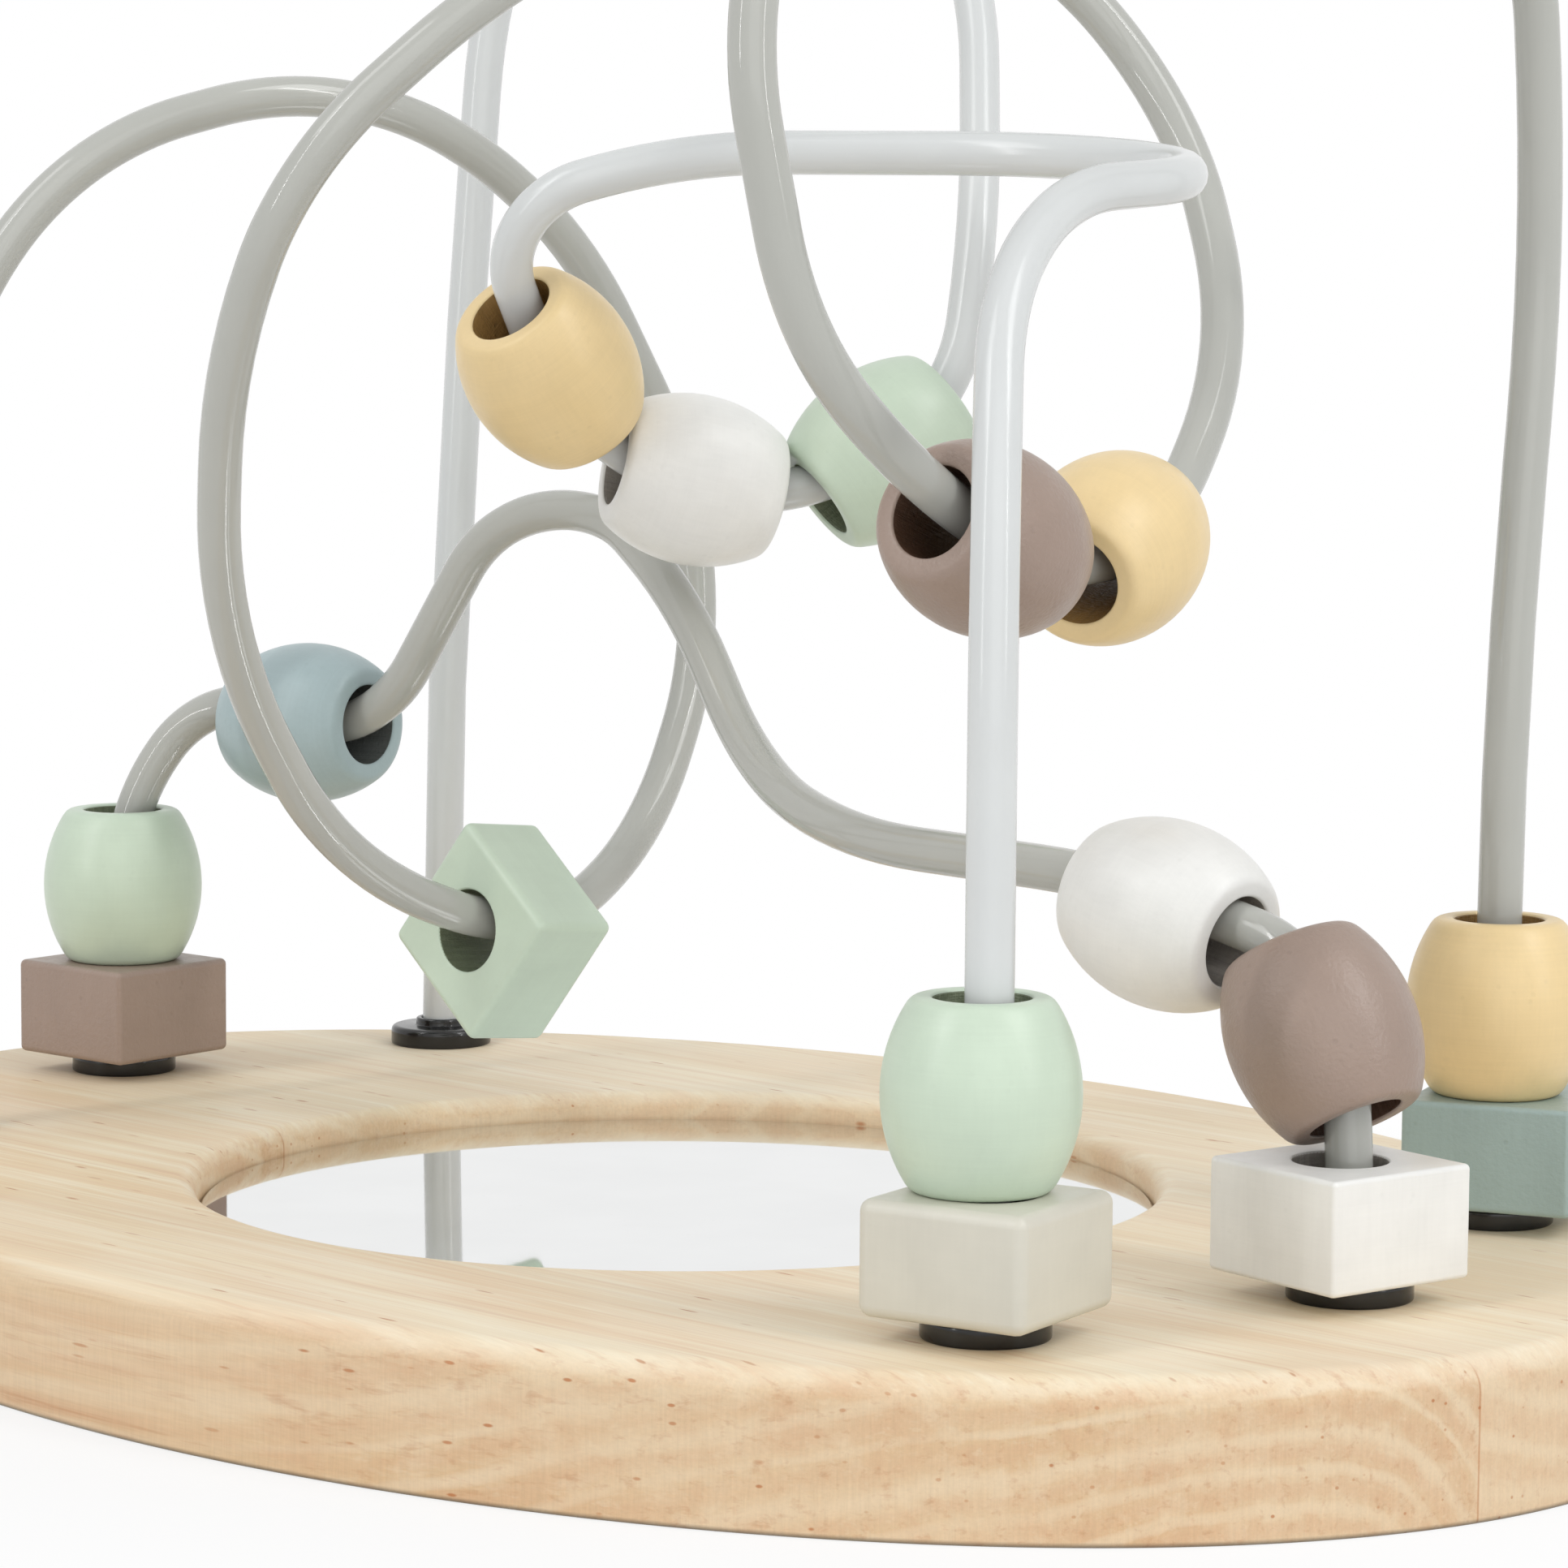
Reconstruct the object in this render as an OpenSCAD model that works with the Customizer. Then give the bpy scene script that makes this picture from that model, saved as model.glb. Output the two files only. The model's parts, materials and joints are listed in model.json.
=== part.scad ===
// Bead maze: three bent wires with wooden beads and blocks over an oval board with a mirror.
// Origin at the middle of the underside, +Z up, +X along the board's long axis.

/* [Board] */
// Length of the oval board
board_l = 308; // [300:1:330]
// Width of the oval board
board_w = 210; // [200:1:230]
// Thickness of the board
board_t = 20; // [18:1:26]
// Radius of the rounded top edge
edge_r = 4; // [2:0.5:6]

/* [Mirror] */
// Diameter of the round recess in the board
recess_d = 134; // [110:1:136]
// Depth from the top of the board to the face of the mirror
mirror_depth = 4; // [2:0.5:6]
// Thickness of the mirror
mirror_t = 3; // [2:0.5:4]
// Radius of the rounded rim of the recess
rim_r = 3; // [1:0.5:3.5]
// Gap all round the mirror
mirror_gap = 0.25; // [0.1:0.05:0.5]

/* [Wires] */
// Diameter of the wires
wire_d = 6; // [4:0.5:6.5]
// Height above the board that the wires are drawn in
wire_rise = 200; // [190:1:230]
// Half the length of the field that the loops fill
field_x = 100; // [96:1:104]
// Half the width of the field that the loops fill
field_y = 50; // [48:1:52]
// Depth of the sockets for the wire ends
socket_depth = 14; // [10:0.5:16]

/* [Posts] */
// Front post of the white wire, from the short axis
white_front_x = 103; // [101:1:106]
// Front post of the white wire, from the long axis
white_front_y = 50; // [48:1:52]
// Back post of the white wire, from the short axis
white_back_x = 109; // [106:1:112]
// Back post of the white wire, from the long axis
white_back_y = 54; // [52:1:56]
// Posts of the spiral wire, from the short axis
spiral_x = 101; // [99:1:104]
// Posts of the spiral wire, from the long axis
spiral_y = 54; // [52:1:56]
// Front post of the wave wire, from the short axis
wave_front_x = 119; // [117:1:122]
// Back post of the wave wire, from the short axis
wave_back_x = 123; // [121:1:126]

/* [Grommets] */
// Diameter of the flange on the board
flange_d = 16; // [14:0.5:18]
// Thickness of the flange
flange_t = 3; // [2:0.25:4]
// Diameter of the collar round the wire
collar_d = 8; // [7.5:0.25:8.5]
// Height of the collar above the flange
collar_t = 1.2; // [0.6:0.2:2]
// Diameter of the sleeve in the board
sleeve_d = 10; // [9.5:0.25:11]
// Gap between wire and sleeve, and between sleeve and board
sleeve_gap = 0.15; // [0.1:0.05:0.3]

/* [Beads] */
// Largest diameter of a bead
bead_d = 24.4; // [22:0.2:25]
// Length of a bead
bead_l = 23.6; // [21:0.2:23.8]
// Diameter of a bead's flat ends
bead_end_d = 17; // [16:0.2:18]
// Bore of the beads and blocks
bore_d = 12; // [11.5:0.25:13]
// Side of a square block
block_w = 23; // [20:0.5:24]
// Thickness of a block
block_t = 14.4; // [13:0.1:16]

/* [Hidden] */
$fn = 96;

// Overrun of cuts past the faces they open
over = 1;
// Facets of the oval, of its rounded edge, and of a wire
oval_sides = 120;
edge_steps = 5;
wire_sides = 10;
// Turn of a wire from one ring of its surface to the next
ring_turn = 10;

socket_d = sleeve_d + 2 * sleeve_gap;
sleeve_bore = wire_d + 2 * sleeve_gap;
recess_depth = mirror_depth + mirror_t;
mirror_d = recess_d - 2 * mirror_gap;
slack = (bore_d - wire_d) / 2;

// Feet of the wires on the board, seen from above
white_front = [white_front_x, -white_front_y];
white_back = [-white_back_x, white_back_y];
spiral_right = [spiral_x, spiral_y];
spiral_left = [-spiral_x, -spiral_y];
wave_front = [wave_front_x, 0];
wave_back = [-wave_back_x, 0];

// Corners of the bent wires between their feet, as shares of field_x, field_y and wire_rise.
// A corner whose first two shares are undefined stands straight above the nearer foot.
white_shares = [
    [undef, undef, 0.47], [0.88, -0.65, 0.68], [0.83, 0.33, 0.695], [0.49, 0.5, 0.71],
    [0.01, -0.02, 0.71], [-0.18, -0.41, 0.67], [-0.24, 0.03, 0.515], [-0.1, 0.48, 0.455],
    [0.06, 0.98, 0.52], [0.01, 1.2, 0.665], [-0.19, 1.62, 0.875], [-0.51, 1.64, 1.04],
    [-0.88, 1.44, 1.06], [-1.06, 1.24, 0.87], [undef, undef, 0.29]
];
spiral_shares = [
    [undef, undef, 0.35], [1.01, 1.22, 0.665], [1.03, 1.04, 0.93], [0.9, 0.02, 1.015],
    [0.75, -0.96, 0.95], [0.73, -1.28, 0.8], [0.76, -1.12, 0.595], [0.79, -0.75, 0.505],
    [0.77, -0.22, 0.445], [0.68, 0.42, 0.45], [0.59, 0.97, 0.58], [0.37, 1.26, 0.735],
    [0.19, 1.06, 0.86], [0.1, 0.34, 0.91], [0.02, -0.58, 0.845], [-0.14, -1.16, 0.7],
    [-0.3, -1.14, 0.565], [-0.45, -0.92, 0.375], [-0.49, -0.4, 0.2], [-0.44, 0.28, 0.135],
    [-0.51, 0.87, 0.195], [-0.59, 1.27, 0.33], [-0.65, 1.31, 0.47], [-0.7, 0.86, 0.675],
    [-0.79, 0.14, 0.77], [-0.93, -0.62, 0.715], [-1.02, -0.98, 0.58], [undef, undef, 0.35]
];
wave_shares = [
    [undef, undef, 0.205], [-1.14, 0.21, 0.3], [-0.83, 0.31, 0.26], [-0.61, 0.41, 0.44],
    [-0.43, 0.52, 0.455], [-0.21, 0.43, 0.39], [0.01, 0.28, 0.275], [0.28, 0.1, 0.245],
    [0.82, 0, 0.245], [1.15, 0.04, 0.205], [undef, undef, 0.07]
];

// Route of a wire: socket floor, corners, socket floor
function corner(share, foot) = [
    is_undef(share.x) ? foot.x : share.x * field_x,
    is_undef(share.y) ? foot.y : share.y * field_y,
    board_t + share.z * wire_rise
];
function floor_of(foot) = [foot.x, foot.y, board_t - socket_depth];
function route(start, shares, end) = [
    floor_of(start),
    for (i = [0 : len(shares) - 1]) corner(shares[i], i < len(shares) / 2 ? start : end),
    floor_of(end)
];
white_route = route(white_front, white_shares, white_back);
spiral_route = route(spiral_right, spiral_shares, spiral_left);
wave_route = route(wave_back, wave_shares, wave_front);

// Bend at corner i: a circular arc that ends halfway along the shorter leg
function unit(v) = v / norm(v);
function leg(q, i) = norm(q[i + 1] - q[i]);
function reach(q, i) = min(
    leg(q, i - 1) / (i == 1 ? 1 : 2),
    leg(q, i) / (i == len(q) - 2 ? 1 : 2)
);
function into(q, i) = unit(q[i] - q[i - 1]);
function turn(q, i) = acos(into(q, i) * into(q, i + 1));
function bend_r(q, i) = reach(q, i) / tan(turn(q, i) / 2);
function bend_centre(q, i) =
    q[i] + unit(into(q, i + 1) - into(q, i)) * norm([bend_r(q, i), reach(q, i)]);
function bend_start(q, i) =
    unit(q[i] - into(q, i) * reach(q, i) - bend_centre(q, i));
function bend_point(q, i, share) = let (g = turn(q, i) * share)
    bend_centre(q, i) + bend_r(q, i) * (bend_start(q, i) * cos(g) + into(q, i) * sin(g));
function bend_dir(q, i, share) = let (g = turn(q, i) * share)
    into(q, i) * cos(g) - bend_start(q, i) * sin(g);
function steps(q, i) = max(1, ceil(turn(q, i) / ring_turn));

// Rings of a wire: a point and a direction at each
function rings(q) = [
    [q[0], into(q, 1)],
    for (i = [1 : len(q) - 2], k = [0 : steps(q, i)])
        let (share = k / steps(q, i)) [bend_point(q, i, share), bend_dir(q, i, share)],
    [q[len(q) - 1], into(q, len(q) - 1)]
];
function across(v, dir) = unit(v - (v * dir) * dir);
function sides_of(ring) = [
    for (k = 0, n = across([1, 0, 0], ring[0][1]); k < len(ring);
         k = k + 1, n = k < len(ring) ? across(n, ring[k][1]) : n) n
];

// A bead's bore lies along the chord between two points of the wire, each given as a corner and a
// share of its bend. The last two shares are how much of the slack it hangs down by at each point.
function chord(q, at) = let (
    a = bend_point(q, at[0], at[1]),
    b = bend_point(q, at[2], at[3]),
    drop = slack * across([0, 0, -1], unit(b - a))
) [a + at[4] * drop, b + at[5] * drop];

yellow_loop_shares = [6, 1, 7, 0.57, 0.8, 0.2];
white_loop_shares = [7, 0.8, 8, 0.56, 0.5, 0.15];
mint_loop_shares = [8, 0.87, 9, 0.53, 0.7, 0.4];
brown_spiral_shares = [8, 0.71, 9, 0.42, 0.75, 0.45];
yellow_spiral_shares = [9, 0.81, 10, 0.42, 0.65, -0.75];
block_spiral_shares = [20, 0.05, 20, 0.65, 0.9, 0.9];
blue_wave_shares = [2, 0.9, 3, 0.52, 0.75, 0.4];
white_wave_shares = [9, 0.4, 9, 0.98, 0.45, 0.75];
brown_wave_shares = [10, 0.31, 11, 0.14, 0.15, -0.2];

// Turns of the blocks about their bores
beige_turn = 12;
teal_turn = 22;
brown_turn = 4;
white_turn = -9;
spiral_turn = 37;

// Pieces that stand off the middle of their post, as shares of the slack in the bore
mint_front_shares = [-0.65, 0.3];
block_white_shares = [-0.35, -0.35];
block_teal_shares = [0.38, 0.36];

// Heights of the stacks on the posts
block_z = board_t + flange_t;
bead_z = block_z + block_t + bead_l / 2;

// Barrel of a bead: an arc through its middle and the edges of its ends
barrel_rise = (bead_d - bead_end_d) / 2;
barrel_r = (pow(bead_l / 2, 2) + pow(barrel_rise, 2)) / (2 * barrel_rise);

wood = "#e3c9a0";
mint = "#c6e0cb";
yellow = "#e9cb8b";
mauve = "#96827a";
white = "#efefec";
beige = "#d2cfc3";
blue = "#a0bec6";
teal = "#96acac";
grey = "#babcb5";
black = "#1c1c1c";
silver = "#dfe4e6";

module oval(inset) {
    polygon([
        for (k = [0 : oval_sides - 1]) let (g = 360 * k / oval_sides)
            [(board_l / 2 - inset) * cos(g), (board_w / 2 - inset) * sin(g)]
    ]);
}

// Board blank: straight sides and a quarter round along the top edge
module blank() {
    hull() {
        linear_extrude(board_t - edge_r) oval(0);
        for (k = [1 : edge_steps]) let (g = 90 * k / edge_steps)
            linear_extrude(board_t - edge_r * (1 - sin(g))) oval(edge_r * (1 - cos(g)));
    }
}

// Recess with a rounded rim that flares to the top of the board
module recess() {
    translate([0, 0, board_t - recess_depth]) cylinder(d = recess_d, h = recess_depth + over);
    translate([0, 0, board_t - rim_r]) rotate_extrude() difference() {
        square([recess_d / 2 + rim_r, rim_r + over]);
        translate([recess_d / 2 + rim_r, 0]) circle(r = rim_r);
    }
}

module at_foot(foot, z) {
    translate([foot.x, foot.y, z]) children();
}

module base_board() {
    color(wood) difference() {
        blank();
        recess();
        for (foot = [white_front, white_back, spiral_right, spiral_left, wave_front, wave_back])
            at_foot(foot, board_t - socket_depth) cylinder(d = socket_d, h = socket_depth + over);
    }
}

module mirror_disc() {
    color(silver) translate([0, 0, board_t - recess_depth]) cylinder(d = mirror_d, h = mirror_t);
}

// Black bush: sleeve in the board, flange on it and a collar round the wire
module grommet(foot) {
    color(black) at_foot(foot, board_t) difference() {
        union() {
            translate([0, 0, -socket_depth]) cylinder(d = sleeve_d, h = socket_depth + flange_t);
            cylinder(d = flange_d, h = flange_t);
            cylinder(d = collar_d, h = flange_t + collar_t);
        }
        translate([0, 0, -socket_depth - over])
            cylinder(d = sleeve_bore, h = socket_depth + flange_t + collar_t + 2 * over);
    }
}

module wire(q, tint) {
    ring = rings(q);
    side = sides_of(ring);
    last = len(ring) - 1;
    points = [
        for (k = [0 : last], j = [0 : wire_sides - 1]) let (g = 360 * j / wire_sides)
            ring[k][0] + wire_d / 2 * (side[k] * cos(g) + cross(ring[k][1], side[k]) * sin(g))
    ];
    walls = [
        for (k = [0 : last - 1], j = [0 : wire_sides - 1])
            let (a = k * wire_sides + j, b = k * wire_sides + (j + 1) % wire_sides)
            each [[a, a + wire_sides, b], [b, a + wire_sides, b + wire_sides]]
    ];
    caps = [
        [for (j = [0 : wire_sides - 1]) j],
        [for (j = [wire_sides - 1 : -1 : 0]) last * wire_sides + j]
    ];
    color(tint) polyhedron(points, concat(walls, caps));
}

module bead() {
    rotate_extrude() difference() {
        intersection() {
            translate([0, -bead_l / 2]) square([bead_d / 2, bead_l]);
            translate([bead_d / 2 - barrel_r, 0]) circle(r = barrel_r);
        }
        translate([0, -bead_l / 2 - over]) square([bore_d / 2, bead_l + 2 * over]);
    }
}

module block() {
    difference() {
        cube([block_w, block_w, block_t], center = true);
        cylinder(d = bore_d, h = block_t + 2 * over, center = true);
    }
}

// Puts a piece on a bend, its bore along the wire
module on_bend(q, at) {
    ends = chord(q, at);
    dir = unit(ends[1] - ends[0]);
    translate((ends[0] + ends[1]) / 2) rotate([0, acos(dir.z), atan2(dir.y, dir.x)]) children();
}

module block_on(foot, spin, tint, shares = [0, 0]) {
    color(tint) at_foot(foot + slack * shares, block_z + block_t / 2) rotate(spin) block();
}

module bead_on(foot, tint, shares = [0, 0]) {
    color(tint) at_foot(foot + slack * shares, bead_z) bead();
}

module bead_at(q, at, tint) {
    color(tint) on_bend(q, at) bead();
}

module block_at(q, at, spin, tint) {
    color(tint) on_bend(q, at) rotate(spin) block();
}

base_board();
mirror_disc();  // mirror
grommet(white_front);  // grommet_white_front
grommet(white_back);  // grommet_white_back
grommet(spiral_right);  // grommet_spiral_right
grommet(spiral_left);  // grommet_spiral_left
grommet(wave_front);  // grommet_wave_front
grommet(wave_back);  // grommet_wave_back
wire(white_route, white);  // wire_white
wire(spiral_route, grey);  // wire_spiral
wire(wave_route, grey);  // wire_wave
block_on(white_front, beige_turn, beige);  // block_beige
bead_on(white_front, mint, mint_front_shares);  // bead_mint_front
bead_at(white_route, yellow_loop_shares, yellow);  // bead_yellow_loop
bead_at(white_route, white_loop_shares, white);  // bead_white_loop
bead_at(white_route, mint_loop_shares, mint);  // bead_mint_loop
block_on(spiral_right, teal_turn, teal, block_teal_shares);  // block_teal
bead_on(spiral_right, yellow);  // bead_yellow_post
bead_at(spiral_route, brown_spiral_shares, mauve);  // bead_brown_spiral
bead_at(spiral_route, yellow_spiral_shares, yellow);  // bead_yellow_spiral
block_at(spiral_route, block_spiral_shares, spiral_turn, mint);  // block_mint_spiral
block_on(wave_back, brown_turn, mauve);  // block_brown
bead_on(wave_back, mint);  // bead_mint_post
bead_at(wave_route, blue_wave_shares, blue);  // bead_blue_wave
bead_at(wave_route, white_wave_shares, white);  // bead_white_wave
bead_at(wave_route, brown_wave_shares, mauve);  // bead_brown_wave
block_on(wave_front, white_turn, white, block_white_shares);  // block_white
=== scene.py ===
"""Bead maze: a pine board with a mirror, bent rod tracks, and painted beads and blocks on them."""

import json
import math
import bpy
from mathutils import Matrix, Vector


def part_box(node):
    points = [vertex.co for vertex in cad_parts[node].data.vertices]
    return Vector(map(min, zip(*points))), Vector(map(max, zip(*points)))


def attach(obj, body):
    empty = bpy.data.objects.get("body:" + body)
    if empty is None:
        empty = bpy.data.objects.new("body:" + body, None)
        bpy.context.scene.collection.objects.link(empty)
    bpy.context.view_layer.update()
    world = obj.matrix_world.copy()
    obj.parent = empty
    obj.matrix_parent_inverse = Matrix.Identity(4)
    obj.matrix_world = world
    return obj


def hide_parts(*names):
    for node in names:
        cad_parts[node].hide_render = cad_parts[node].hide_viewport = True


bl_info = {
    "name": "Bead Maze",
    "version": (1, 0, 0),
    "blender": (4, 5, 0),
    "location": "View3D > Sidebar > Maze",
    "description": "Models and finishes a bead maze over its fixed frame",
    "category": "Object",
}

import bmesh
import bpy
from bpy.props import FloatProperty, FloatVectorProperty, PointerProperty
from mathutils import Matrix, Vector

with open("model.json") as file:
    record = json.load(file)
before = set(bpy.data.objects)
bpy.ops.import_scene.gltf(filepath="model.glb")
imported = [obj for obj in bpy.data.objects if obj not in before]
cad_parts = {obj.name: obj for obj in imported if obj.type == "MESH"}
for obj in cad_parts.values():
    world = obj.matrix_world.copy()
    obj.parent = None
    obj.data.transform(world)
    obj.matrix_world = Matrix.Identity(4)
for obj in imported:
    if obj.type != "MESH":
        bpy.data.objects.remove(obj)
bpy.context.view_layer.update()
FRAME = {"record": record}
MM = 0.001
BODY_OF = {node: body for body, nodes in FRAME["record"]["behaviour"]["bodies"].items() for node in nodes}

BOARD_LOW, BOARD_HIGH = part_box("base_board")
MIRROR_LOW, MIRROR_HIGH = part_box("mirror")

# Feet of the tracks on the board, in mm
FEET = {
    "white_front": (103, -50), "white_back": (-109, 54),
    "spiral_right": (101, 54), "spiral_left": (-101, -54),
    "wave_front": (119, 0), "wave_back": (-123, 0),
}

# Corners of the tracks as shares of the field's half length, half width and rise.
# A corner without its first two shares stands straight above the nearer foot.
UP = None
WHITE_SHARES = [
    (UP, UP, 0.47), (0.88, -0.65, 0.68), (0.83, 0.33, 0.695), (0.49, 0.5, 0.71),
    (0.01, -0.02, 0.71), (-0.18, -0.41, 0.67), (-0.24, 0.03, 0.515), (-0.1, 0.48, 0.455),
    (0.06, 0.98, 0.52), (0.01, 1.2, 0.665), (-0.19, 1.62, 0.875), (-0.51, 1.64, 1.04),
    (-0.88, 1.44, 1.06), (-1.06, 1.24, 0.87), (UP, UP, 0.29),
]
SPIRAL_SHARES = [
    (UP, UP, 0.35), (1.01, 1.22, 0.665), (1.03, 1.04, 0.93), (0.9, 0.02, 1.015),
    (0.75, -0.96, 0.95), (0.73, -1.28, 0.8), (0.76, -1.12, 0.595), (0.79, -0.75, 0.505),
    (0.77, -0.22, 0.445), (0.68, 0.42, 0.45), (0.59, 0.97, 0.58), (0.37, 1.26, 0.735),
    (0.19, 1.06, 0.86), (0.1, 0.34, 0.91), (0.02, -0.58, 0.845), (-0.14, -1.16, 0.7),
    (-0.3, -1.14, 0.565), (-0.45, -0.92, 0.375), (-0.49, -0.4, 0.2), (-0.44, 0.28, 0.135),
    (-0.51, 0.87, 0.195), (-0.59, 1.27, 0.33), (-0.65, 1.31, 0.47), (-0.7, 0.86, 0.675),
    (-0.79, 0.14, 0.77), (-0.93, -0.62, 0.715), (-1.02, -0.98, 0.58), (UP, UP, 0.35),
]
WAVE_SHARES = [
    (UP, UP, 0.205), (-1.14, 0.21, 0.3), (-0.83, 0.31, 0.26), (-0.61, 0.41, 0.44),
    (-0.43, 0.52, 0.455), (-0.21, 0.43, 0.39), (0.01, 0.28, 0.275), (0.28, 0.1, 0.245),
    (0.82, 0, 0.245), (1.15, 0.04, 0.205), (UP, UP, 0.07),
]
TRACKS = {
    "wire_white": ("white_front", WHITE_SHARES, "white_back"),
    "wire_spiral": ("spiral_right", SPIRAL_SHARES, "spiral_left"),
    "wire_wave": ("wave_back", WAVE_SHARES, "wave_front"),
}

# Pieces threaded on a track: paint, track, chord of the track that the bore follows (number of a bend
# and share of its arc, for both ends), and the share of the slack that the bore hangs down by at each end
THREADED = {
    "bead_yellow_loop": ("yellow", "wire_white", (6, 1, 7, 0.57), (0.8, 0.2)),
    "bead_white_loop": ("white", "wire_white", (7, 0.8, 8, 0.56), (0.5, 0.15)),
    "bead_mint_loop": ("mint", "wire_white", (8, 0.87, 9, 0.53), (0.7, 0.4)),
    "bead_brown_spiral": ("mauve", "wire_spiral", (8, 0.71, 9, 0.42), (0.75, 0.45)),
    "bead_yellow_spiral": ("yellow", "wire_spiral", (9, 0.81, 10, 0.42), (0.65, -0.75)),
    "block_mint_spiral": ("mint", "wire_spiral", (20, 0.05, 20, 0.65), (0.9, 0.9)),
    "bead_blue_wave": ("blue", "wire_wave", (2, 0.9, 3, 0.52), (0.75, 0.4)),
    "bead_white_wave": ("white", "wire_wave", (9, 0.4, 9, 0.98), (0.45, 0.75)),
    "bead_brown_wave": ("mauve", "wire_wave", (10, 0.31, 11, 0.14), (0.15, -0.2)),
}
# Pieces stacked on a post: paint, foot, share of the slack that they stand off the post by
STACKED = {
    "block_beige": ("beige", "white_front", (0, 0)),
    "bead_mint_front": ("mint", "white_front", (-0.65, 0.3)),
    "block_teal": ("teal", "spiral_right", (0.38, 0.36)),
    "bead_yellow_post": ("yellow", "spiral_right", (0, 0)),
    "block_brown": ("mauve", "wave_back", (0, 0)),
    "bead_mint_post": ("mint", "wave_back", (0, 0)),
    "block_white": ("white", "wave_front", (-0.35, -0.35)),
}
# Turn of each block about its bore in degrees, and the radius of its edges in mm
BLOCK_CUT = {
    "block_beige": (12, 1.6), "block_teal": (22, 0.8), "block_brown": (4, 0.9),
    "block_white": (-9, 0.7), "block_mint_spiral": (37, 1.3),
}

# Bushes: radius of sleeve, flange and collar, thickness of the flange and height of the collar
SLEEVE_R, FLANGE_R, COLLAR_R = 5 * MM, 8 * MM, 4 * MM
FLANGE_T, COLLAR_TOP = 3 * MM, 4.2 * MM
# Play of the rod in a bush, and of a bush's sleeve in its socket
BUSH_PLAY = 0.15 * MM
# How near to a face, to the lip of a bore or to a bore a point counts as on it, and the distance
# within which points are merged
ON_FACE = 0.01 * MM
ON_LIP = 0.05 * MM
IN_BORE = 0.12 * MM
WELD = 0.002 * MM

# Steps round a full turn
BOARD_STEPS, RECESS_STEPS, MIRROR_STEPS, TURNED_STEPS, SOCKET_STEPS = 256, 192, 160, 72, 48
# Largest angle in degrees between two sections of a bent rod, and the least distance
SECTION_ANGLE, SECTION_GAP = 2.5, 0.05 * MM

# Glue seams between the board's three planks, in mm across the board
SEAM_FRONT, SEAM_BACK = -17.0, 72.0

# Relief and wear of each paint: fibres, turning lines, peel and pits
PAINT_LOOKS = {
    "mint": (0.2, 0.35, 0.25, 0.15), "yellow": (0.3, 0.5, 0.4, 0.3), "mauve": (0.3, 0.3, 2.4, 0.6),
    "white": (0.3, 0.3, 0.4, 0.2), "beige": (0.2, 0.2, 0.2, 0.1), "blue": (0.4, 0.5, 0.5, 0.3),
    "teal": (0.5, 0.2, 2.2, 0.8),
}

# Camera: place in mm, level heading, and pitch down and roll in degrees
CAMERA_PLACE, CAMERA_HEADING = (519.4, -515.0, 154.2), (-0.696, 0.718, 0)
CAMERA_PITCH, CAMERA_ROLL = 6.194, 0.42
# Lamps: setting of the power, place in metres to the right, up and towards the camera from the point
# they face, width and height, and 1 where the lamp tilts down to that point or 0 where it stands upright
LAMP_AIM = (0.03, -0.03, 0.1)
LAMPS = {
    "lamp_right": ("right_lamp", (1.65, 2.1, 0.75), (0.8, 1.5), 1),
    "lamp_left": ("left_lamp", (-1.65, 2.1, 0.75), (0.8, 1.5), 1),
    "strip_right": ("strip_lamp", (1.5, 1.1, 1.0), (0.06, 2.0), 0),
    "strip_left": ("strip_lamp", (-1.5, 1.1, 1.0), (0.06, 2.0), 0),
    "lamp_front": ("front_lamp", (0.75, 1.65, 4.0), (3.9, 3.9), 1),
}
# Share of plain white that the floor shows near the middle, where some shade is left, and the distances
# in metres over which it rises to the whole
SHADE_WHITE, SHADE_NEAR, SHADE_FAR = 0.78, 0.12, 0.2


def srgb(code):
    """Linear colour of a six-digit colour code."""
    parts = [int(code[k:k + 2], 16) / 255 for k in (0, 2, 4)]
    return tuple(c / 12.92 if c <= 0.04045 else ((c + 0.055) / 1.055) ** 2.4 for c in parts)


def a_length(name, words, default):
    return FloatProperty(name=name, description=words, default=default, min=0,
                         subtype="DISTANCE", unit="LENGTH")


def a_colour(name, words, code):
    return FloatVectorProperty(name=name, description=words, default=srgb(code), min=0, max=1,
                               subtype="COLOR")


def a_power(name, words, default):
    return FloatProperty(name=name, description=words, default=default, min=0,
                         subtype="POWER", unit="POWER")


class BoardSettings(bpy.types.PropertyGroup):
    length: a_length("Length", "Length of the oval board", BOARD_HIGH.x - BOARD_LOW.x)
    width: a_length("Width", "Width of the oval board", BOARD_HIGH.y - BOARD_LOW.y)
    thickness: a_length("Thickness", "Thickness of the board", BOARD_HIGH.z - BOARD_LOW.z)
    edge_radius: a_length("Edge radius", "Radius of the rounded top edge", 4 * MM)
    foot_radius: a_length("Foot radius", "Radius of the eased bottom edge", 0.6 * MM)
    recess: a_length("Recess", "Diameter of the recess for the mirror", 134 * MM)
    rim_radius: a_length("Rim radius", "Radius of the rounded rim of the recess", 3 * MM)
    mirror_edge: a_length("Mirror edge", "Width of the ground edge of the mirror", 0.4 * MM)
    tan_wood: a_colour("Tan wood", "Colour of the broad bands of the grain", "e2c59d")
    pale_wood: a_colour("Pale wood", "Colour of the pale bands of the grain", "f0dfc3")
    pink_wood: a_colour("Pink wood", "Colour of the flushed streaks in the grain", "e1bf9d")
    pore: a_colour("Pore", "Colour of the pores and seams", "b66c34")
    silver: a_colour("Silver", "Colour of the mirror", "e3e4e4")


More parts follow.
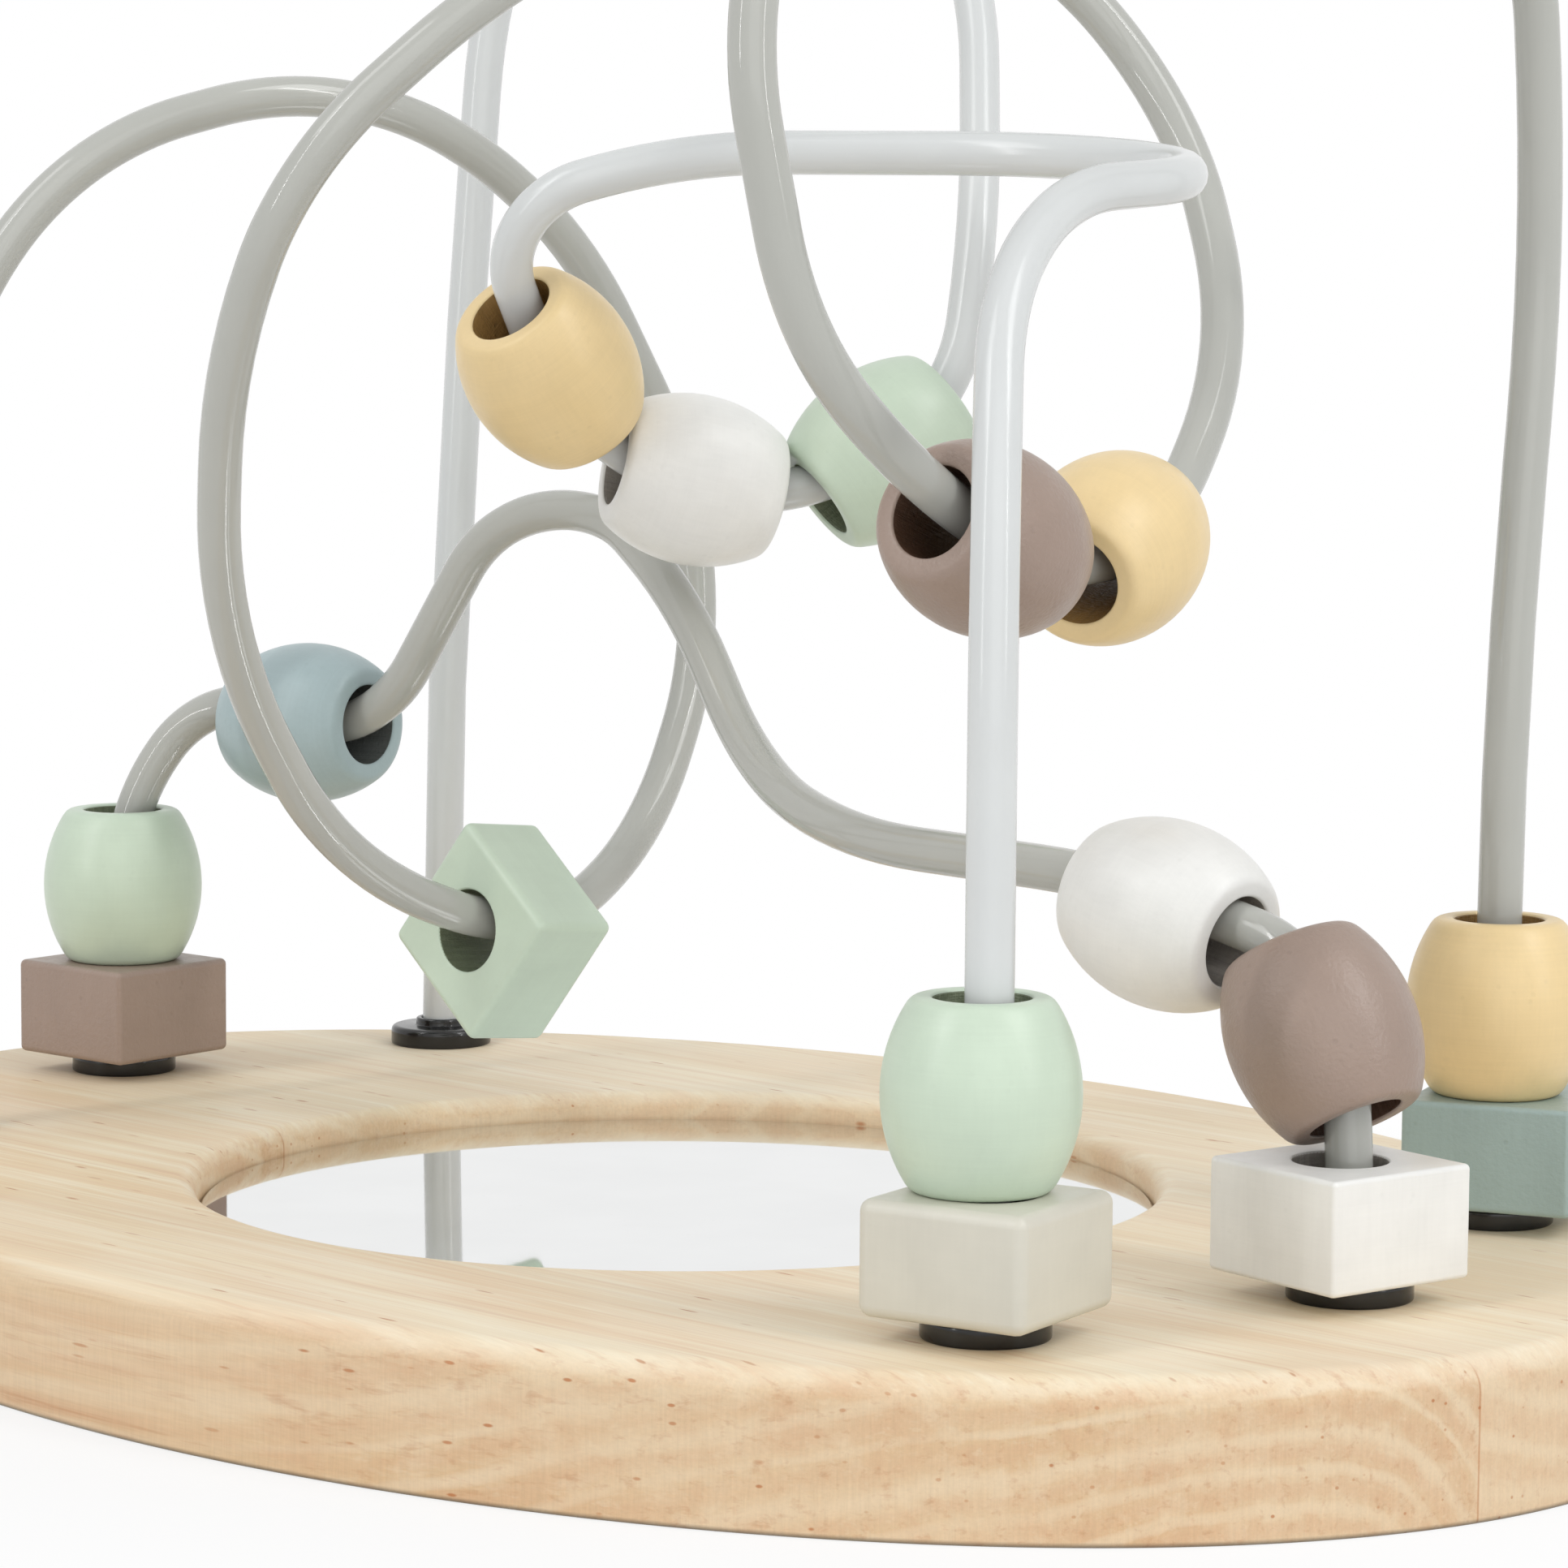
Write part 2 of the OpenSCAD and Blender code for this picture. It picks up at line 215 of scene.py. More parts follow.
class TrackSettings(bpy.types.PropertyGroup):
    rod: a_length("Rod", "Diameter of the rod", 6 * MM)
    half_length: a_length("Half length", "Half the length of the field of the loops", 100 * MM)
    half_width: a_length("Half width", "Half the width of the field of the loops", 50 * MM)
    rise: a_length("Rise", "Height above the board that the tracks are drawn in", 200 * MM)
    socket: a_length("Socket", "Depth of the sockets in the board", 14 * MM)
    white: a_colour("White enamel", "Colour of the white track", "d8dbdb")
    grey: a_colour("Grey enamel", "Colour of the grey tracks", "b7b8b2")
    bush: a_colour("Bush", "Colour of the black bushes", "171717")


class BeadSettings(bpy.types.PropertyGroup):
    diameter: a_length("Diameter", "Largest diameter of a bead", 24.4 * MM)
    length: a_length("Length", "Length of a bead", 23.6 * MM)
    end: a_length("End", "Diameter of a bead's flat ends", 17 * MM)
    bore: a_length("Bore", "Bore of the beads and blocks", 12 * MM)
    side: a_length("Side", "Side of a square block", 23 * MM)
    thickness: a_length("Thickness", "Thickness of a block", 14.4 * MM)
    mint: a_colour("Mint", "Mint paint", "ccddc9")
    yellow: a_colour("Yellow", "Yellow paint", "eed4a0")
    mauve: a_colour("Mauve", "Brown mauve paint", "a18d81")
    white: a_colour("White", "White paint", "f0f0ed")
    beige: a_colour("Beige", "Beige paint", "d6d3c6")
    blue: a_colour("Blue", "Blue paint", "a9bcbf")
    teal: a_colour("Teal", "Teal grey paint", "9fb3b0")
    bare: a_colour("Bare wood", "Wood inside the bores", "6b4a34")


class StageSettings(bpy.types.PropertyGroup):
    lens: FloatProperty(name="Lens", description="Focal length on a 36 mm sensor", default=121.42, min=10)
    right_lamp: a_power("Right lamp", "Power of the soft lamp on the right", 15)
    left_lamp: a_power("Left lamp", "Power of the soft lamp on the left", 11)
    strip_lamp: a_power("Strip lamps", "Power of the two narrow upright lamps", 6.5)
    front_lamp: a_power("Front lamp", "Power of the broad lamp behind the camera", 36)
    fill: FloatProperty(name="Fill", description="Strength of the even light", default=0.52, min=0)


def settings():
    scene = bpy.context.scene
    return scene.maze_board, scene.maze_tracks, scene.maze_beads, scene.maze_stage


def clear_selection():
    if bpy.context.object and bpy.context.object.mode != "OBJECT":
        bpy.ops.object.mode_set(mode="OBJECT")
    bpy.ops.object.select_all(action="DESELECT")


def pick(obj):
    """Make one object the only one that operators act on."""
    clear_selection()
    obj.select_set(True)
    bpy.context.view_layer.objects.active = obj


def discard(obj):
    pick(obj)
    bpy.ops.object.delete()


def select_edges(obj, wanted):
    """In edit mode, select the edges whose two ends pass a test."""
    bpy.ops.mesh.select_mode(type="EDGE")
    bpy.ops.mesh.select_all(action="DESELECT")
    mesh = bmesh.from_edit_mesh(obj.data)
    for edge in mesh.edges:
        if wanted(edge.verts[0].co) and wanted(edge.verts[1].co):
            edge.select_set(True)
    mesh.select_flush_mode()
    bmesh.update_edit_mesh(obj.data)


def eased(start, corner, end, count):
    """Points of a rounded corner of an outline, its ends included."""
    points = []
    for k in range(count + 1):
        t = k / count
        points.append(tuple((1 - t) ** 2 * a + 2 * t * (1 - t) * b + t * t * c
                            for a, b, c in zip(start, corner, end)))
    return points


def lathe(name, outline, steps):
    """Turn a closed outline of (radius, height) points round the Z axis."""
    clear_selection()
    bpy.ops.mesh.primitive_plane_add(size=MM)
    obj = bpy.context.object
    obj.name = obj.data.name = name
    bpy.ops.object.mode_set(mode="EDIT")
    bpy.ops.mesh.merge(type="CENTER")
    bpy.ops.mesh.select_mode(type="VERT")
    bpy.ops.mesh.select_all(action="SELECT")
    bpy.ops.transform.translate(value=(outline[0][0], 0, outline[0][1]))
    for (r0, z0), (r1, z1) in zip(outline, outline[1:] + outline[:1]):
        bpy.ops.mesh.extrude_vertices_move(TRANSFORM_OT_translate={"value": (r1 - r0, 0, z1 - z0)})
    bpy.ops.mesh.select_all(action="SELECT")
    bpy.ops.mesh.remove_doubles(threshold=WELD)
    bpy.ops.mesh.select_all(action="SELECT")
    bpy.ops.mesh.spin(steps=steps, angle=2 * math.pi, center=(0, 0, 0), axis=(0, 0, 1))
    bpy.ops.mesh.select_all(action="SELECT")
    bpy.ops.mesh.remove_doubles(threshold=WELD)
    bpy.ops.mesh.normals_make_consistent(inside=False)
    bpy.ops.object.mode_set(mode="OBJECT")
    return obj


def cut(obj, cutter):
    """Take one solid out of another."""
    pick(obj)
    modifier = obj.modifiers.new("cut", "BOOLEAN")
    modifier.operation = "DIFFERENCE"
    modifier.solver = "EXACT"
    modifier.object = cutter
    bpy.ops.object.modifier_apply(modifier=modifier.name)
    discard(cutter)


def smooth(obj, degrees):
    pick(obj)
    bpy.ops.object.shade_smooth_by_angle(angle=math.radians(degrees))


def flatten(obj, weight):
    """Let the large faces set the shading of the rounded edges beside them."""
    pick(obj)
    modifier = obj.modifiers.new("flat faces", "WEIGHTED_NORMAL")
    modifier.keep_sharp = True
    modifier.weight = weight
    bpy.ops.object.modifier_apply(modifier=modifier.name)


def copy_of(model, name):
    obj = model.copy()
    obj.data = model.data.copy()
    obj.name = obj.data.name = name
    bpy.context.collection.objects.link(obj)
    return obj


def keep_own_place(obj):
    """Keep each point's place in the piece's own frame, for finishes that follow the piece."""
    own = obj.data.attributes.new("own_place", "FLOAT_VECTOR", "POINT")
    for k, vertex in enumerate(obj.data.vertices):
        own.data[k].vector = vertex.co


def settle(obj, place):
    """Put a piece at its place, with the place in its mesh."""
    obj.matrix_world = place
    pick(obj)
    bpy.ops.object.transform_apply(location=True, rotation=True, scale=True)


def belong(obj, node):
    """Let a piece stand for a node of the frame and move with its body."""
    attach(obj, BODY_OF[node])
    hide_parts(node)


def foot_place(foot, height):
    x, y = FEET[foot]
    return Vector((x * MM, y * MM, height))


class Bend:
    """Circular arc that rounds one corner of a track."""

    def __init__(self, before, corner, after, reach):
        self.into = (corner - before).normalized()
        out = (after - corner).normalized()
        self.turn = self.into.angle(out)
        self.radius = reach / math.tan(self.turn / 2)
        self.centre = corner + (out - self.into).normalized() * math.hypot(self.radius, reach)
        self.start = (corner - self.into * reach - self.centre).normalized()

    def point(self, share):
        angle = self.turn * share
        return self.centre + self.radius * (self.start * math.cos(angle) + self.into * math.sin(angle))


def track_corners(track):
    board, tracks, _, _ = settings()
    start, shares, end = TRACKS[track]
    floor = board.thickness - tracks.socket
    corners = [foot_place(start, floor)]
    for k, (x, y, z) in enumerate(shares):
        height = board.thickness + z * tracks.rise
        if x is UP:
            corners.append(foot_place(start if k < len(shares) / 2 else end, height))
        else:
            corners.append(Vector((x * tracks.half_length, y * tracks.half_width, height)))
    return corners + [foot_place(end, floor)]


def track_bends(track):
    corners = track_corners(track)
    last = len(corners) - 2
    bends = {}
    for k in range(1, last + 1):
        before = (corners[k] - corners[k - 1]).length / (1 if k == 1 else 2)
        after = (corners[k + 1] - corners[k]).length / (1 if k == last else 2)
        bends[k] = Bend(corners[k - 1], corners[k], corners[k + 1], min(before, after))
    return corners, bends


def threaded_place(node):
    """Where a threaded piece lies: its bore along the chord of the track, hanging in the slack."""
    _, tracks, beads, _ = settings()
    _, track, (first, share, second, other), hang = THREADED[node]
    bends = track_bends(track)[1]
    a, b = bends[first].point(share), bends[second].point(other)
    along = (b - a).normalized()
    down = Vector((0, 0, -1))
    drop = (down - along * down.dot(along)).normalized() * (beads.bore - tracks.rod) / 2
    a, b = a + drop * hang[0], b + drop * hang[1]
    along = (b - a).normalized()
    heading, lean = math.atan2(along.y, along.x), math.acos(along.z)
    turn = Matrix.Rotation(heading, 4, "Z") @ Matrix.Rotation(lean, 4, "Y")
    return Matrix.Translation((a + b) / 2) @ turn


def stacked_place(node):
    """Where a piece stands on its post: blocks on the flange, beads on the blocks."""
    _, tracks, beads, _ = settings()
    _, foot, lean = STACKED[node]
    flange_top = BOARD_HIGH.z + FLANGE_T
    height = flange_top + beads.thickness / 2
    if node.startswith("bead"):
        height = flange_top + beads.thickness + beads.length / 2
    slack = (beads.bore - tracks.rod) / 2
    return Matrix.Translation(foot_place(foot, height) + Vector((lean[0] * slack, lean[1] * slack, 0)))


def place_of(node):
    return threaded_place(node) if node in THREADED else stacked_place(node)


def paint_of(node):
    return (THREADED.get(node) or STACKED[node])[0]


class Sheet:
    """Adds and joins the nodes of one material or group."""

    def __init__(self, tree):
        self.tree = tree

    def add(self, kind, inputs=None, **values):
        node = self.tree.nodes.new(kind)
        for key, value in values.items():
            setattr(node, key, value)
        for key, value in (inputs or {}).items():
            self.feed(node.inputs[key], value)
        return node

    def feed(self, socket, value):
        if isinstance(value, bpy.types.NodeSocket):
            self.tree.links.new(value, socket)
        else:
            socket.default_value = value

    def calc(self, operation, a, b=0.0):
        return self.add("ShaderNodeMath", {0: a, 1: b}, operation=operation).outputs[0]

    def plus(self, a, b):
        return self.calc("ADD", a, b)

    def minus(self, a, b):
        return self.calc("SUBTRACT", a, b)

    def times(self, a, b):
        return self.calc("MULTIPLY", a, b)

    def mix(self, share, a, b, blend="MIX"):
        node = self.add("ShaderNodeMix", {0: share, 6: a, 7: b}, data_type="RGBA", blend_type=blend)
        return node.outputs[2]

    def stretch(self, vector, scale):
        return self.add("ShaderNodeVectorMath", {0: vector, 1: scale}, operation="MULTIPLY").outputs[0]

    def in_mm(self, vector):
        return self.stretch(vector, (1000, 1000, 1000))

    def shaded(self, colour, shade):
        node = self.add("ShaderNodeVectorMath", {0: colour, "Scale": shade}, operation="SCALE")
        return node.outputs[0]

    def seen(self):
        """One for rays from the camera, a mirror or a clear piece, nought for the others."""
        path = self.add("ShaderNodeLightPath").outputs
        mirrored = self.calc("MAXIMUM", path["Is Glossy Ray"], path["Is Transmission Ray"])
        return self.calc("MAXIMUM", path["Is Camera Ray"], mirrored)

    def noise(self, vector, scale=1.0, detail=2.0, rough=0.5, bend=0.0):
        return self.add("ShaderNodeTexNoise", {"Vector": vector, "Scale": scale, "Detail": detail,
                                               "Roughness": rough, "Distortion": bend}).outputs["Fac"]

    def spots(self, vector, scale=1.0):
        return self.add("ShaderNodeTexVoronoi", {"Vector": vector, "Scale": scale})

    def span(self, value, low, high, to_low=0.0, to_high=1.0):
        return self.add("ShaderNodeMapRange", {"Value": value, "From Min": low, "From Max": high,
                                               "To Min": to_low, "To Max": to_high}).outputs[0]


def group(name, inputs, outputs):
    """A shader node group with named sockets, or the one already made."""
    made = bpy.data.node_groups.get(name)
    if made:
        return made, None, None, None
    made = bpy.data.node_groups.new(name, "ShaderNodeTree")
    for label, kind, default in inputs:
        socket = made.interface.new_socket(label, in_out="INPUT", socket_type=kind)
        if default is not None:
            socket.default_value = default
    for label, kind in outputs:
        made.interface.new_socket(label, in_out="OUTPUT", socket_type=kind)
    sheet = Sheet(made)
    return made, sheet, sheet.add("NodeGroupInput").outputs, sheet.add("NodeGroupOutput").inputs


FLOAT, COLOUR, VECTOR = "NodeSocketFloat", "NodeSocketColor", "NodeSocketVector"


def paint_group():
    """Satin paint on wood: soft tone changes, fibres and turning lines that show through, peel and pits."""
    made, s, given, out = group("Painted wood", [
        ("Place", VECTOR, None), ("Colour", COLOUR, (0.8, 0.8, 0.8, 1)), ("Fibres", FLOAT, 0.5),
        ("Turning", FLOAT, 0.5), ("Peel", FLOAT, 0.5), ("Pits", FLOAT, 0.5),
    ], [("Colour", COLOUR), ("Roughness", FLOAT), ("Height", FLOAT)])
    if s is None:
        return made
    place = s.in_mm(given["Place"])
    tone = s.noise(place, 0.09, 3, 0.55)
    fibre = s.noise(s.stretch(place, (1.5, 1.5, 0.09)), 1.0, 4, 0.6, 0.3)
    lines = s.noise(s.stretch(place, (0.04, 0.04, 3.2)), 1.0, 3, 0.6)
    peel = s.noise(place, 1.7, 2, 0.5)
    cell = s.spots(place, 0.5)
    rare = s.span(s.noise(place, 0.16, 1), 0.5, 0.62)
    pit = s.times(s.span(cell.outputs["Distance"], 0.10, 0.22, 1.0, 0.0), rare)
    pit = s.times(pit, given["Pits"])
    shade = s.span(tone, 0.3, 0.7, 0.955, 1.035)
    shade = s.plus(shade, s.times(s.span(fibre, 0.3, 0.7, -0.05, 0.04), given["Fibres"]))
    shade = s.plus(shade, s.times(s.span(lines, 0.3, 0.7, -0.03, 0.03), given["Turning"]))
    shade = s.minus(shade, s.times(pit, 0.14))
    s.feed(out["Colour"], s.shaded(given["Colour"], shade))
    rough = s.span(s.noise(place, 0.5, 3, 0.6), 0.3, 0.7, 0.31, 0.42)
    s.feed(out["Roughness"], rough)
    height = s.times(fibre, s.times(given["Fibres"], 0.6))
    height = s.plus(height, s.times(lines, s.times(given["Turning"], 0.5)))
    height = s.plus(height, s.times(peel, given["Peel"]))
    height = s.minus(height, pit)
    s.feed(out["Height"], height)
    return made


def pine_group():
    """Bare sanded pine: growth rings round a heart line in each plank, fibres, pores and glue seams."""
    made, s, given, out = group("Sanded pine", [
        ("Place", VECTOR, None), ("Tan", COLOUR, (0.7, 0.5, 0.3, 1)), ("Pale", COLOUR, (0.8, 0.7, 0.5, 1)),
        ("Pink", COLOUR, (0.7, 0.45, 0.3, 1)), ("Pore", COLOUR, (0.3, 0.1, 0.05, 1)),
    ], [("Colour", COLOUR), ("Roughness", FLOAT), ("Height", FLOAT)])
    if s is None:
        return made
    place = s.in_mm(given["Place"])
    axes = s.add("ShaderNodeSeparateXYZ", {0: place}).outputs
    x, y, z = axes[0], axes[1], axes[2]
    normal = s.add("ShaderNodeNewGeometry").outputs["Normal"]
    facing_up = s.add("ShaderNodeSeparateXYZ", {0: normal}).outputs[2]
    side = s.span(s.calc("ABSOLUTE", facing_up), 0.3, 0.9, 1.0, 0.0)
    middle = s.calc("GREATER_THAN", y, SEAM_FRONT)
    back = s.calc("GREATER_THAN", y, SEAM_BACK)
    plank = s.plus(middle, back)

    def by_plank(first, second, third):
        """One value for each of the three planks, front to back."""
        return s.plus(s.plus(first, s.times(middle, second - first)), s.times(back, third - second))

    def chosen(cells, channel, least):
        """One in the cells whose own random tint passes a level."""
        tint = s.add("ShaderNodeSeparateColor", {0: cells.outputs["Color"]}).outputs[channel]
        return s.calc("GREATER_THAN", tint, least)

    heart_y, heart_z = by_plank(-36.0, 42.0, 112.0), by_plank(-42.0, 53.0, -57.0)
    across = s.minus(y, heart_y)
    # Rings are tighter behind the heart line than in front of it
    across = s.plus(s.times(s.calc("MAXIMUM", across, 0.0), 1.7),
                    s.times(s.calc("MINIMUM", across, 0.0), 0.5))
    # The heart line rises a little along the board, so rings slope on the long sides
    up = s.minus(s.minus(z, s.times(x, 0.12)), heart_z)
    ring = s.calc("POWER", s.plus(s.calc("POWER", across, 2.0), s.calc("POWER", up, 2.0)), 0.5)
    sway = s.noise(s.stretch(place, (0.006, 0.02, 0.02)), 1.0, 2, 0.5)
    ripple = s.noise(s.stretch(place, (0.01, 0.12, 0.12)), 1.0, 3, 0.6)
    ring = s.plus(ring, s.span(sway, 0.0, 1.0, -6.0, 6.0))
    ring = s.plus(ring, s.span(ripple, 0.0, 1.0, -1.0, 1.0))
    # Thin pale rings about 5 mm apart, of uneven strength, between broad uneven tan ones
    count = s.add("ShaderNodeCombineXYZ", {0: s.times(ring, 0.15), 1: s.times(plank, 7.3)})
    broad = s.noise(count.outputs[0], 1.0, 2, 0.6)
    beat = s.calc("SINE", s.plus(s.times(ring, 1.26), s.times(broad, 5.0)))
    strength = s.span(s.noise(s.stretch(place, (0.02, 0.05, 0.05)), 1.0, 2, 0.5), 0.35, 0.62, 0.25, 1.0)
    thin = s.times(s.span(beat, 0.45, 0.98), strength)
    thin = s.times(thin, s.span(side, 0.0, 1.0, 0.2, 0.9))
    streak = s.noise(s.stretch(place, (0.012, 0.33, 0.33)), 1.0, 4, 0.62, 0.4)
    fibre = s.noise(s.stretch(place, (0.05, 2.6, 2.6)), 1.0, 3, 0.6)
    cloud = s.noise(s.stretch(place, (0.01, 0.03, 0.03)), 1.0, 2, 0.5)
    flush = s.noise(s.stretch(place, (0.012, 0.05, 0.05)), 1.0, 2, 0.5)
    colour = s.mix(s.span(cloud, 0.38, 0.62, 0.0, 0.75), given["Tan"], given["Pale"])
    colour = s.mix(s.span(flush, 0.42, 0.66, 0.0, 0.5), colour, given["Pink"])
    colour = s.mix(s.span(broad, 0.55, 0.4, 0.0, 0.4), colour, given["Tan"])
    colour = s.mix(s.span(streak, 0.5, 0.68, 0.0, 0.7), colour, given["Pale"])
    colour = s.mix(s.span(streak, 0.47, 0.32, 0.0, 0.55), colour, given["Pink"])
    colour = s.mix(thin, colour, given["Pale"])
    # Late wood: a narrow deeper line inside each pale ring, and long fine lines along the grain
    late = s.times(s.span(beat, 0.1, -0.75), strength)
    colour = s.mix(s.times(late, s.span(side, 0.0, 1.0, 0.12, 0.4)), colour, given["Pink"])
    hair = s.noise(s.stretch(place, (0.008, 0.75, 0.75)), 1.0, 3, 0.65, 0.2)
    colour = s.mix(s.span(hair, 0.56, 0.74, 0.0, 0.3), colour, given["Pore"])
    colour = s.mix(s.span(hair, 0.42, 0.28, 0.0, 0.5), colour, given["Pale"])
    # The planks behind the front one are lightened towards the pale wood: painted light on the back of the
    # board
    colour = s.mix(s.times(middle, 0.35), colour, given["Pale"])
    # The long sides, where the cut crosses the layers, are deeper and warmer in tone and the top paler and
    # cooler, set by which way each face points: partly the wood's own tone, partly painted shade on the
    # sides and painted light on the top
    colour = s.mix(1.0, colour, s.mix(side, (1.08, 1.15, 1.22, 1), (0.9, 0.84, 0.77, 1)), "MULTIPLY")
    # Pores: fine short dashes along the grain, dots where the grain is cut across, and a few larger ones
    crowd = s.span(s.noise(s.stretch(place, (0.012, 0.06, 0.06)), 1.0, 2, 0.5), 0.4, 0.6, 0.5, 1.0)
    fine = s.spots(s.stretch(place, (0.08, 0.6, 0.6)), 1.0)
    dash = s.times(s.span(fine.outputs["Distance"], 0.09, 0.16, 1.0, 0.0), chosen(fine, 1, 0.72))
    dash = s.times(dash, crowd)
    big = s.spots(s.stretch(place, (0.05, 0.17, 0.17)), 1.0)
    speck = s.times(s.span(big.outputs["Distance"], 0.03, 0.085, 1.0, 0.0), chosen(big, 0, 0.74))
    colour = s.mix(s.times(dash, 0.8), colour, given["Pore"])
    colour = s.mix(s.times(speck, 0.7), colour, given["Pore"])
    # Sanding marks run up and down the sides
    marks = s.noise(s.stretch(place, (2.4, 2.4, 0.16)), 1.0, 3, 0.7)
    marks = s.times(s.span(marks, 0.3, 0.7, -1.0, 1.0), side)
    # A fine dark line at each glue seam
    near = s.calc("MINIMUM", *(s.calc("ABSOLUTE", s.minus(y, line)) for line in (SEAM_FRONT, SEAM_BACK)))
    seam = s.span(near, 0.04, 0.2, 1.0, 0.0)
    seam = s.times(seam, s.span(side, 0.0, 1.0, 0.03, 0.55))
    colour = s.mix(seam, colour, given["Pore"])
    shade = s.plus(s.span(fibre, 0.3, 0.7, 0.97, 1.03), s.times(marks, 0.04))
    # The lower edge is darkened: painted shadow where the board meets the floor
    shade = s.times(shade, s.span(z, 0.25, 0.8, 0.35, 1.0))
    s.feed(out["Colour"], s.shaded(colour, shade))
    s.feed(out["Roughness"], s.span(streak, 0.3, 0.7, 0.62, 0.5))
    height = s.plus(s.times(fibre, 0.7), s.times(marks, 0.3))
    height = s.minus(height, s.plus(s.times(speck, 0.4), s.times(seam, 1.2)))
    s.feed(out["Height"], height)
    return made


def gloss_group():
    """Smooth coat on rod, bush or glass: faint tone, uneven gloss and slow waves."""
    made, s, given, out = group("Smooth coat", [
        ("Place", VECTOR, None), ("Colour", COLOUR, (0.8, 0.8, 0.8, 1)), ("Gloss low", FLOAT, 0.16),
        ("Gloss high", FLOAT, 0.26), ("Dust", FLOAT, 0.3),
    ], [("Colour", COLOUR), ("Roughness", FLOAT), ("Height", FLOAT)])
    if s is None:
        return made
    place = s.in_mm(given["Place"])
    tone = s.noise(place, 0.05, 3, 0.5)
    grit = s.noise(place, 0.12, 3, 0.6)
    waves = s.noise(place, 0.09, 1, 0.4)
    cell = s.spots(place, 0.28)
    mote = s.times(s.span(cell.outputs["Distance"], 0.03, 0.07, 1.0, 0.0), given["Dust"])
    shade = s.minus(s.span(tone, 0.3, 0.7, 0.975, 1.025), s.times(mote, 0.3))
    s.feed(out["Colour"], s.shaded(given["Colour"], shade))
    s.feed(out["Roughness"], s.span(grit, 0.3, 0.7, given["Gloss low"], given["Gloss high"]))
    s.feed(out["Height"], s.plus(waves, s.times(mote, 0.5)))
    return made


def finish(name, made, values, place, bump, distance, **shader_values):
    """A material: one group of surface detail feeding one Principled shader."""
    found = bpy.data.materials.get(name)
    if found:
        return found
    material = bpy.data.materials.new(name)
    material.use_nodes = True
    material.node_tree.nodes.clear()
    s = Sheet(material.node_tree)
    if place == "own":
        source = s.add("ShaderNodeAttribute", attribute_name="own_place").outputs["Vector"]
    else:
        source = s.add("ShaderNodeTexCoord").outputs["Object"]
    detail = s.add("ShaderNodeGroup", node_tree=made)
    s.feed(detail.inputs["Place"], source)
    for key, value in values.items():
        s.feed(detail.inputs[key], (*value, 1) if isinstance(value, tuple) else value)
    relief = s.add("ShaderNodeBump", {
        "Strength": bump, "Distance": distance, "Height": detail.outputs["Height"],
    })
    shader = s.add("ShaderNodeBsdfPrincipled", {
        "Base Color": detail.outputs["Colour"], "Roughness": detail.outputs["Roughness"],
        "Normal": relief.outputs["Normal"],
    })
    for key, value in shader_values.items():
        shader.inputs[key.replace("_", " ")].default_value = value
    output = s.add("ShaderNodeOutputMaterial")
    s.tree.links.new(shader.outputs[0], output.inputs["Surface"])
    return material


def paint_material(paint):
    beads = settings()[2]
    values = dict(zip(("Fibres", "Turning", "Peel", "Pits"), PAINT_LOOKS[paint]))
    values["Colour"] = tuple(getattr(beads, paint))
    return finish("Paint " + paint, paint_group(), values, "own", bump=0.35, distance=0.12 * MM)


def bore_material(paint):
    """Thin paint over bare wood inside a bore."""
    beads = settings()[2]
    thin = tuple(0.4 * a * a + 0.35 * b for a, b in zip(getattr(beads, paint), beads.bare))
    values = {"Colour": thin, "Fibres": 3.0, "Turning": 1.5, "Peel": 1.0, "Pits": 1.0}
    return finish("Bore " + paint, paint_group(), values, "own", bump=0.6, distance=0.25 * MM)


